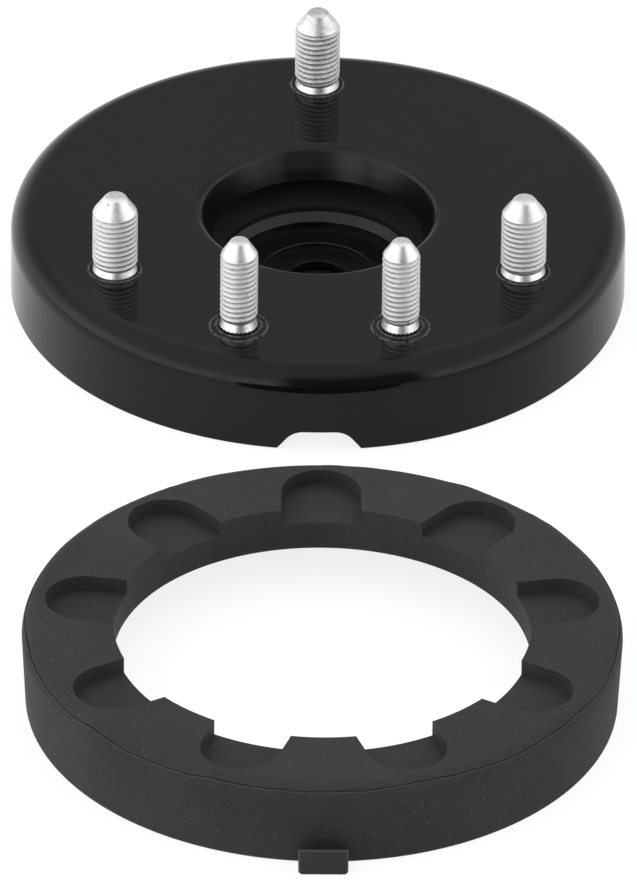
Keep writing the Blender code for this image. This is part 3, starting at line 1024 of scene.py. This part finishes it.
ring = turned("ring_body", ring_section(), 180, ISOLATOR_Y)
pockets = {
    "Circle": STUD_CIRCLE, "Inner End": BORE_RADIUS - 0.024, "Centre Y": ISOLATOR_Y,
    "Floor Height": ISOLATOR_TOP - POCKET_DEPTH, "Material": RUBBER,
}
run_tree(ring, POCKETS, pockets)
ring_mesh = softened(baked(ring), 0.00028, 35)
print("ring with pockets has", len(ring_mesh.polygons), "faces")


# %% [markdown]
# ### The tab
# The tab at the foot of the ring is a thin wall on a low block, with a scooped hollow between
# the wall and the ring. It has the same section right across, so its side view is drawn once,
# stretched across the tab's width and rounded at its corners like the ring, then joined to it.


# %% Make the tab and join it
def tab_mesh():
    half, reach, height, wall, scoop = 0.0064, 0.0058, 0.0076, 0.0009, 0.0012
    face = ISOLATOR_Y - FOOT_RADIUS - reach
    root = ISOLATOR_Y - ISOLATOR_RADIUS + 0.0039
    hollow = height - 0.0034
    side = [(face, 0), (root, 0), (root, hollow)]
    side += arc(face + wall + scoop, hollow + scoop, scoop, 270, 180, 4)
    side += [(face + wall, height), (face, height)]
    bm = stretched([(-half, y, z) for y, z in side], (2 * half, 0, 0))
    low = []
    for edge in bm.edges:
        a, b = (v.co for v in edge.verts)
        if max(a.z, b.z) < 1e-6 and abs(a.x - b.x) < 1e-6:
            low.append(edge)
    bmesh.ops.bevel(bm, geom=low, offset=0.0011, segments=5, affect="EDGES", profile=0.5)
    print("tab drawn from", len(side), "points,", len(low), "lower corners rounded")
    return softened(mesh_of("tab", bm), 0.0005, 50)


def joined(*meshes):
    bm = bmesh.new()
    for mesh in meshes:
        bm.from_mesh(mesh)
    bm.to_mesh(meshes[0])
    bm.free()
    return meshes[0]


whole = flat_led(mark_edges(joined(ring_mesh, tab_mesh())), 32)
make_piece("moulded_ring", whole, RUBBER, "isolator_rubber", "spring_isolator")

# %% [markdown]
# ## The mould line
# The two halves of the mould meet on the rounded shoulder, two millimetres below the top. They
# leave a thin line there that is never quite straight. A dark tube of the darker rubber lies
# along it as painted shade, and scraps of pale flash just below it are lighter, partly as a
# painted highlight. A tree sweeps a tiny round profile along a circle whose height wavers with
# noise. The same seed gives the same line every time, so it serves for both.


# %% Tree: mould line
def mould_line_tree():
    inputs = {
        "Radius": 0.0775, "Height": 0.019, "Centre Y": 0.0, "Thickness": 0.00012,
        "Waver": 0.0028, "Seed": 3.0, "Wear And Sheen": 0.0, "Material": "Material",
    }
    tree, value, result = new_tree("mould line", "GeometryNodeTree", inputs, GEOMETRY)
    circle = "GeometryNodeCurvePrimitiveCircle"
    path = first(tree, circle, {"Resolution": 720, "Radius": value["Radius"]})
    profile = first(tree, circle, {"Resolution": 6, "Radius": value["Thickness"]})
    here = first(tree, "GeometryNodeInputPosition")
    wave = noise(tree, here, 55.0, 5.0, value["Seed"])["Fac"]
    other_seed = plus(tree, value["Seed"], value["Wear And Sheen"])
    swell = noise(tree, here, 260.0, seed=other_seed)["Fac"]
    girth = remap(tree, swell, 0.44, 0.62, 0.04, 1.5)
    lift = times(tree, minus(tree, wave, 0.5), value["Waver"])
    rise = plus(tree, value["Height"], lift)
    inward = calc(tree, "DIVIDE", times(tree, lift, -0.5), value["Radius"])
    lifted = combine(tree, Y=value["Centre Y"], Z=rise)
    moved = vector(tree, "ADD", vector(tree, "SCALE", here, scale=inward), lifted)
    path = first(tree, "GeometryNodeSetPosition", {"Geometry": path, "Offset": moved})
    path = first(tree, "GeometryNodeSetCurveRadius", {"Curve": path, "Radius": girth})
    swept = first(tree, "GeometryNodeCurveToMesh", {"Curve": path, "Profile Curve": profile})
    worn_and_lit = keep(tree, swept, "edge", value["Wear And Sheen"])
    return finish_tree(tree, worn_and_lit, value["Material"], result)


MOULD_LINE = mould_line_tree()
for name, turn, thickness, wear_and_sheen, finish in (
    # Painted shade: a dark tube along the mould line.
    ("mould_line_shade", 37, 0.0002, 0.0, BUSH_RUBBER),
    # Pale flash, made lighter partly as a painted highlight.
    ("mould_flash", 33, 0.00015, 1.0, RUBBER),
):
    values = {"Centre Y": ISOLATOR_Y, "Thickness": thickness, "Wear And Sheen": wear_and_sheen, "Material": finish}
    values["Radius"] = ISOLATOR_RADIUS - SHOULDER * (1 - cos(radians(turn))) - 0.00004
    values["Height"] = ISOLATOR_TOP - SHOULDER * (1 - sin(radians(turn))) - 0.00002
    line = grown(name, MOULD_LINE, values)
    line.shade_smooth()
    make_piece(name, line, finish, "isolator_rubber")

# %% [markdown]
# ## Floor, light and camera
# The photograph is a cut-out on white. A large white floor gives that white and still keeps a
# faint shadow. Most of its white reaches only the camera and mirror rays, so that it doesn't
# light the dark rubber from below. Under the mount, where little light gets in, the floor has a
# painted shadow: its colour and its white fade out there, or it would shine up through the
# rod's bore.


# %% Floor
FLOOR_Z, FLOOR_REACH = -0.0001, 30


def floor_material():
    material, tree, shader, place = new_material("white_floor")
    rays = tree.nodes.new("ShaderNodeLightPath").outputs
    mirrored = calc(tree, "MAXIMUM", rays["Is Glossy Ray"], rays["Is Transmission Ray"])
    dimmed = remap(tree, parts(tree, place)["X"], -0.05, 0.15, 1.0, 0.62)
    mirrored = times(tree, mirrored, dimmed)
    seen = calc(tree, "MAXIMUM", rays["Is Camera Ray"], mirrored)
    shader.inputs["Roughness"].default_value = 1.0
    shader.inputs["Specular IOR Level"].default_value = 0.0
    shader.inputs["Emission Color"].default_value = grey(0.84)
    reach = vector(tree, "DISTANCE", place, (0.0, MOUNT_Y, FLOOR_Z))
    # Painted shadow under the mount: the floor's colour and white fade out towards its middle.
    outside_painted_shadow = remap(tree, reach, 0.035, 0.068, soft=True)
    tone = blend_colours(tree, outside_painted_shadow, grey(0.02), grey(0.25))
    tree.links.new(tone, shader.inputs["Base Color"])
    tree.links.new(times(tree, seen, outside_painted_shadow), shader.inputs["Emission Strength"])
    return material


floor_mesh = bpy.data.meshes.new("floor")
corners = [(x * FLOOR_REACH, y * FLOOR_REACH) for x, y in ((-1, -1), (1, -1), (1, 1), (-1, 1))]
floor_mesh.from_pydata([(x, y, FLOOR_Z) for x, y in corners], [], [(0, 1, 2, 3)])
floor = link("floor", floor_mesh)
floor_mesh.materials.append(floor_material())
print("floor made")


# %% [markdown]
# ### The studio round it
# Gloss black shows little but its surroundings, so the studio decides how the mount looks. The
# flat plate mirrors the wall behind, which is grey half way up. The fold and the recess's wall
# mirror the bright screens in front. One dark gap in them, low down and a little to the right,
# is where the camera stands: it gives the lens-shaped shade on the front of the fold.


# %% Studio
WALL_BEHIND = [(0.0, 0.9), (0.2, 0.8), (0.36, 0.52), (0.56, 0.52), (0.75, 1.0), (1.0, 0.95)]
SCREENS = [(0.0, 2.0), (0.34, 1.9), (0.5, 1.2), (0.78, 1.15), (0.88, 1.05), (1.0, 0.95)]


def brightness(tree, height, stops):
    """Brightness that follows the height of a direction, from (height, value) stops."""
    ramp = add(tree, "ShaderNodeValToRGB", {"Fac": height})
    elements = ramp.color_ramp.elements
    elements[0].position, elements[1].position = stops[0][0], stops[-1][0]
    elements[0].color, elements[1].color = grey(stops[0][1] / 2), grey(stops[-1][1] / 2)
    for position, value in stops[1:-1]:
        elements.new(position).color = grey(value / 2)
    return times(tree, ramp.outputs["Color"], 2.0)


def make_world():
    world = bpy.data.worlds.new("studio")
    bpy.context.scene.world = world
    world.use_nodes = True
    tree = world.node_tree
    background = tree.nodes["Background"]
    way = parts(tree, tree.nodes.new("ShaderNodeTexCoord").outputs["Generated"])
    facing = vector(tree, "NORMALIZE", combine(tree, X=way["X"], Y=way["Y"]))
    toward = times(tree, parts(tree, facing)["Y"], -1.0)
    front = remap(tree, toward, -0.88, 0.1, soft=True)
    behind = brightness(tree, way["Z"], WALL_BEHIND)
    before = brightness(tree, way["Z"], SCREENS)
    light = first(tree, "ShaderNodeMix", {0: front, 2: behind, 3: before}, data_type="FLOAT")
    light = times(tree, light, times_plus(tree, way["X"], -0.08, 1.0))
    gap_side = vector(tree, "DOT_PRODUCT", facing, (0.22, -0.975, 0.0))
    gap = remap(tree, gap_side, 0.86, 0.94, soft=True)
    gap = times(tree, gap, remap(tree, way["Z"], 0.5, 1.0, 1.0, 0.0, soft=True))
    light = times(tree, light, times_plus(tree, gap, -0.93, 1.0))
    background.inputs["Color"].default_value = grey(1.0)
    tree.links.new(light, background.inputs["Strength"])


make_world()
print("studio made")


# %% [markdown]
# ### The camera
# The photograph was taken with a long lens from well above the floor. Its angle and focal
# length were worked out from the outlines of the pan and the ring in the picture. The focal
# length is in pixels of a picture 880 pixels high.


# %% Camera
SENSOR, FOCAL_PIXELS, PICTURE_HEIGHT = 36, 22907.8, 880


def make_camera():
    camera = bpy.data.cameras.new("camera")
    camera.sensor_width = SENSOR
    camera.lens = FOCAL_PIXELS * SENSOR / PICTURE_HEIGHT
    camera.clip_end = 100
    obj = link("camera", camera)
    tilt, turn, roll = radians(32.637), radians(0.665), radians(0.675)
    ahead = Vector((sin(turn) * cos(tilt), cos(turn) * cos(tilt), -sin(tilt)))
    right = Vector((cos(turn), -sin(turn), 0))
    above = right.cross(ahead)
    x = right * cos(roll) + above * sin(roll)
    y = above * cos(roll) - right * sin(roll)
    place = Matrix((x, y, -ahead)).transposed().to_4x4()
    place.translation = (-0.058979, -5.045302, 3.246786)
    obj.matrix_world = place
    bpy.context.scene.camera = obj


make_camera()
bpy.context.scene.view_settings.view_transform = "Standard"
print("camera made")
